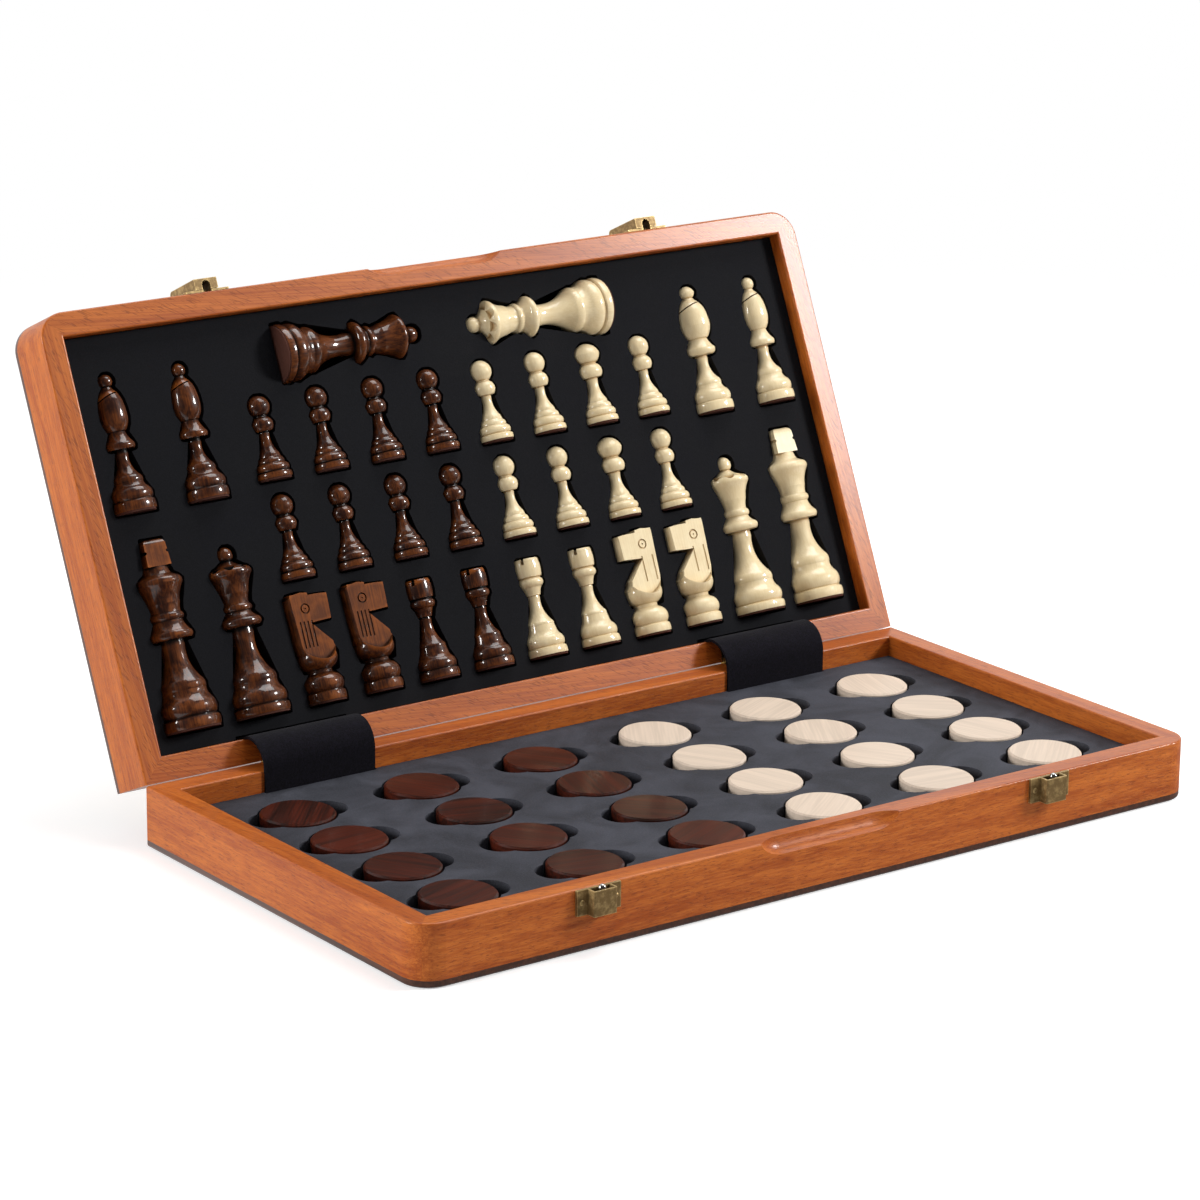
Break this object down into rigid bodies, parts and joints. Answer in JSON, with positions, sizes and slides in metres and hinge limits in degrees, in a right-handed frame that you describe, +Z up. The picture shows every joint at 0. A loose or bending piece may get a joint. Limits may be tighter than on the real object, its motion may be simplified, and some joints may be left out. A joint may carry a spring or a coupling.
{
  "type": "magnetic chess set",
  "caption": "folding wooden magnetic chess and draughts set, open, with chessmen laid in the foam of the lid and draughts in the foam of the base",
  "frame": {"origin": "centre of the flat underside of the base, on the table", "axes": "+X right along the case, +Y from the front rail with the latches to the hinge, +Z up; rest pose has the lid standing open at 114 degrees"},
  "size_m": [0.38, 0.2956, 0.2038],
  "materials": {
    "stained_rail": "satin",
    "board_panel": "satin",
    "dark_square": "satin",
    "steel": "satin",
    "base_foam": "matte",
    "lid_foam": "matte",
    "felt": "matte",
    "plain_brass": "satin",
    "antique_brass": "satin",
    "nickel": "polished",
    "dark_chessman": "gloss",
    "light_chessman": "gloss",
    "dark_draught": "satin",
    "light_draught": "satin"
  },
  "bodies": {
    "base": {"base_front_rail": "stained_rail", "base_rear_rail": "stained_rail", "base_side_rails": "stained_rail", "base_board_panel": "board_panel", "base_dark_squares": "dark_square", "base_steel_sheet": "steel", "base_foam_tray": "base_foam", "hinge_base_leaves": "plain_brass", "latch_keepers": "antique_brass", "latch_studs": "nickel", "base_screws": "antique_brass", "hinge_straps": "felt"},
    "lid": {"lid_front_rail": "stained_rail", "lid_rear_rail": "stained_rail", "lid_side_rails": "stained_rail", "lid_board_panel": "board_panel", "lid_dark_squares": "dark_square", "lid_steel_sheet": "steel", "lid_foam_tray": "lid_foam", "hinge_lid_leaves": "plain_brass", "latch_plates": "antique_brass", "lid_screws": "antique_brass"},
    "left_hasp": {"left_hasp": "antique_brass"},
    "right_hasp": {"right_hasp": "antique_brass"},
    "dark_king": {"dark_king": "dark_chessman"},
    "dark_queen": {"dark_queen": "dark_chessman"},
    "dark_inner_bishop": {"dark_inner_bishop": "dark_chessman"},
    "dark_outer_bishop": {"dark_outer_bishop": "dark_chessman"},
    "dark_spare_queen": {"dark_spare_queen": "dark_chessman"},
    "dark_pawn_1": {"dark_pawn_1": "dark_chessman"},
    "dark_pawn_2": {"dark_pawn_2": "dark_chessman"},
    "dark_pawn_3": {"dark_pawn_3": "dark_chessman"},
    "dark_pawn_4": {"dark_pawn_4": "dark_chessman"},
    "dark_pawn_5": {"dark_pawn_5": "dark_chessman"},
    "dark_pawn_6": {"dark_pawn_6": "dark_chessman"},
    "dark_pawn_7": {"dark_pawn_7": "dark_chessman"},
    "dark_pawn_8": {"dark_pawn_8": "dark_chessman"},
    "dark_rook_1": {"dark_rook_1": "dark_chessman"},
    "dark_rook_2": {"dark_rook_2": "dark_chessman"},
    "dark_knight_1": {"dark_knight_1": "dark_chessman"},
    "dark_knight_2": {"dark_knight_2": "dark_chessman"},
    "light_king": {"light_king": "light_chessman"},
    "light_queen": {"light_queen": "light_chessman"},
    "light_inner_bishop": {"light_inner_bishop": "light_chessman"},
    "light_outer_bishop": {"light_outer_bishop": "light_chessman"},
    "light_spare_queen": {"light_spare_queen": "light_chessman"},
    "light_pawn_1": {"light_pawn_1": "light_chessman"},
    "light_pawn_2": {"light_pawn_2": "light_chessman"},
    "light_pawn_3": {"light_pawn_3": "light_chessman"},
    "light_pawn_4": {"light_pawn_4": "light_chessman"},
    "light_pawn_5": {"light_pawn_5": "light_chessman"},
    "light_pawn_6": {"light_pawn_6": "light_chessman"},
    "light_pawn_7": {"light_pawn_7": "light_chessman"},
    "light_pawn_8": {"light_pawn_8": "light_chessman"},
    "light_rook_1": {"light_rook_1": "light_chessman"},
    "light_rook_2": {"light_rook_2": "light_chessman"},
    "light_knight_1": {"light_knight_1": "light_chessman"},
    "light_knight_2": {"light_knight_2": "light_chessman"},
    "dark_checkers": {"dark_checkers": "dark_draught"},
    "light_checkers": {"light_checkers": "light_draught"}
  },
  "joints": [
    {"name": "lid_hinge", "type": "hinge", "parent": "base", "child": "lid", "pos_m": [0, 0.0952, 0.0252], "axis": [-1, 0, 0], "range_deg": [-114, 66], "deforming": ["hinge_straps"]},
    {"name": "left_hasp_pin", "type": "hinge", "parent": "lid", "child": "left_hasp", "pos_m": [-0.111, 0.19154, 0.1939], "axis": [-1, 0, 0], "range_deg": [0, 90]},
    {"name": "right_hasp_pin", "type": "hinge", "parent": "lid", "child": "right_hasp", "pos_m": [0.111, 0.19154, 0.1939], "axis": [-1, 0, 0], "range_deg": [0, 90]},
    {"name": "dark_king_lift", "type": "slide", "parent": "lid", "child": "dark_king", "axis": [0, -0.9135, 0.4067], "range_m": [0, 0.05]},
    {"name": "dark_queen_lift", "type": "slide", "parent": "lid", "child": "dark_queen", "axis": [0, -0.9135, 0.4067], "range_m": [0, 0.05]},
    {"name": "dark_inner_bishop_lift", "type": "slide", "parent": "lid", "child": "dark_inner_bishop", "axis": [0, -0.9135, 0.4067], "range_m": [0, 0.05]},
    {"name": "dark_outer_bishop_lift", "type": "slide", "parent": "lid", "child": "dark_outer_bishop", "axis": [0, -0.9135, 0.4067], "range_m": [0, 0.05]},
    {"name": "dark_spare_queen_lift", "type": "slide", "parent": "lid", "child": "dark_spare_queen", "axis": [0, -0.9135, 0.4067], "range_m": [0, 0.05]},
    {"name": "dark_pawn_1_lift", "type": "slide", "parent": "lid", "child": "dark_pawn_1", "axis": [0, -0.9135, 0.4067], "range_m": [0, 0.05]},
    {"name": "dark_pawn_2_lift", "type": "slide", "parent": "lid", "child": "dark_pawn_2", "axis": [0, -0.9135, 0.4067], "range_m": [0, 0.05]},
    {"name": "dark_pawn_3_lift", "type": "slide", "parent": "lid", "child": "dark_pawn_3", "axis": [0, -0.9135, 0.4067], "range_m": [0, 0.05]},
    {"name": "dark_pawn_4_lift", "type": "slide", "parent": "lid", "child": "dark_pawn_4", "axis": [0, -0.9135, 0.4067], "range_m": [0, 0.05]},
    {"name": "dark_pawn_5_lift", "type": "slide", "parent": "lid", "child": "dark_pawn_5", "axis": [0, -0.9135, 0.4067], "range_m": [0, 0.05]},
    {"name": "dark_pawn_6_lift", "type": "slide", "parent": "lid", "child": "dark_pawn_6", "axis": [0, -0.9135, 0.4067], "range_m": [0, 0.05]},
    {"name": "dark_pawn_7_lift", "type": "slide", "parent": "lid", "child": "dark_pawn_7", "axis": [0, -0.9135, 0.4067], "range_m": [0, 0.05]},
    {"name": "dark_pawn_8_lift", "type": "slide", "parent": "lid", "child": "dark_pawn_8", "axis": [0, -0.9135, 0.4067], "range_m": [0, 0.05]},
    {"name": "dark_rook_1_lift", "type": "slide", "parent": "lid", "child": "dark_rook_1", "axis": [0, -0.9135, 0.4067], "range_m": [0, 0.05]},
    {"name": "dark_rook_2_lift", "type": "slide", "parent": "lid", "child": "dark_rook_2", "axis": [0, -0.9135, 0.4067], "range_m": [0, 0.05]},
    {"name": "dark_knight_1_lift", "type": "slide", "parent": "lid", "child": "dark_knight_1", "axis": [0, -0.9135, 0.4067], "range_m": [0, 0.05]},
    {"name": "dark_knight_2_lift", "type": "slide", "parent": "lid", "child": "dark_knight_2", "axis": [0, -0.9135, 0.4067], "range_m": [0, 0.05]},
    {"name": "light_king_lift", "type": "slide", "parent": "lid", "child": "light_king", "axis": [0, -0.9135, 0.4067], "range_m": [0, 0.05]},
    {"name": "light_queen_lift", "type": "slide", "parent": "lid", "child": "light_queen", "axis": [0, -0.9135, 0.4067], "range_m": [0, 0.05]},
    {"name": "light_inner_bishop_lift", "type": "slide", "parent": "lid", "child": "light_inner_bishop", "axis": [0, -0.9135, 0.4067], "range_m": [0, 0.05]},
    {"name": "light_outer_bishop_lift", "type": "slide", "parent": "lid", "child": "light_outer_bishop", "axis": [0, -0.9135, 0.4067], "range_m": [0, 0.05]},
    {"name": "light_spare_queen_lift", "type": "slide", "parent": "lid", "child": "light_spare_queen", "axis": [0, -0.9135, 0.4067], "range_m": [0, 0.05]},
    {"name": "light_pawn_1_lift", "type": "slide", "parent": "lid", "child": "light_pawn_1", "axis": [0, -0.9135, 0.4067], "range_m": [0, 0.05]},
    {"name": "light_pawn_2_lift", "type": "slide", "parent": "lid", "child": "light_pawn_2", "axis": [0, -0.9135, 0.4067], "range_m": [0, 0.05]},
    {"name": "light_pawn_3_lift", "type": "slide", "parent": "lid", "child": "light_pawn_3", "axis": [0, -0.9135, 0.4067], "range_m": [0, 0.05]},
    {"name": "light_pawn_4_lift", "type": "slide", "parent": "lid", "child": "light_pawn_4", "axis": [0, -0.9135, 0.4067], "range_m": [0, 0.05]},
    {"name": "light_pawn_5_lift", "type": "slide", "parent": "lid", "child": "light_pawn_5", "axis": [0, -0.9135, 0.4067], "range_m": [0, 0.05]},
    {"name": "light_pawn_6_lift", "type": "slide", "parent": "lid", "child": "light_pawn_6", "axis": [0, -0.9135, 0.4067], "range_m": [0, 0.05]},
    {"name": "light_pawn_7_lift", "type": "slide", "parent": "lid", "child": "light_pawn_7", "axis": [0, -0.9135, 0.4067], "range_m": [0, 0.05]},
    {"name": "light_pawn_8_lift", "type": "slide", "parent": "lid", "child": "light_pawn_8", "axis": [0, -0.9135, 0.4067], "range_m": [0, 0.05]},
    {"name": "light_rook_1_lift", "type": "slide", "parent": "lid", "child": "light_rook_1", "axis": [0, -0.9135, 0.4067], "range_m": [0, 0.05]},
    {"name": "light_rook_2_lift", "type": "slide", "parent": "lid", "child": "light_rook_2", "axis": [0, -0.9135, 0.4067], "range_m": [0, 0.05]},
    {"name": "light_knight_1_lift", "type": "slide", "parent": "lid", "child": "light_knight_1", "axis": [0, -0.9135, 0.4067], "range_m": [0, 0.05]},
    {"name": "light_knight_2_lift", "type": "slide", "parent": "lid", "child": "light_knight_2", "axis": [0, -0.9135, 0.4067], "range_m": [0, 0.05]},
    {"name": "dark_checkers_lift", "type": "slide", "parent": "base", "child": "dark_checkers", "axis": [0, 0, 1], "range_m": [0, 0.04]},
    {"name": "light_checkers_lift", "type": "slide", "parent": "base", "child": "light_checkers", "axis": [0, 0, 1], "range_m": [0, 0.04]}
  ]
}
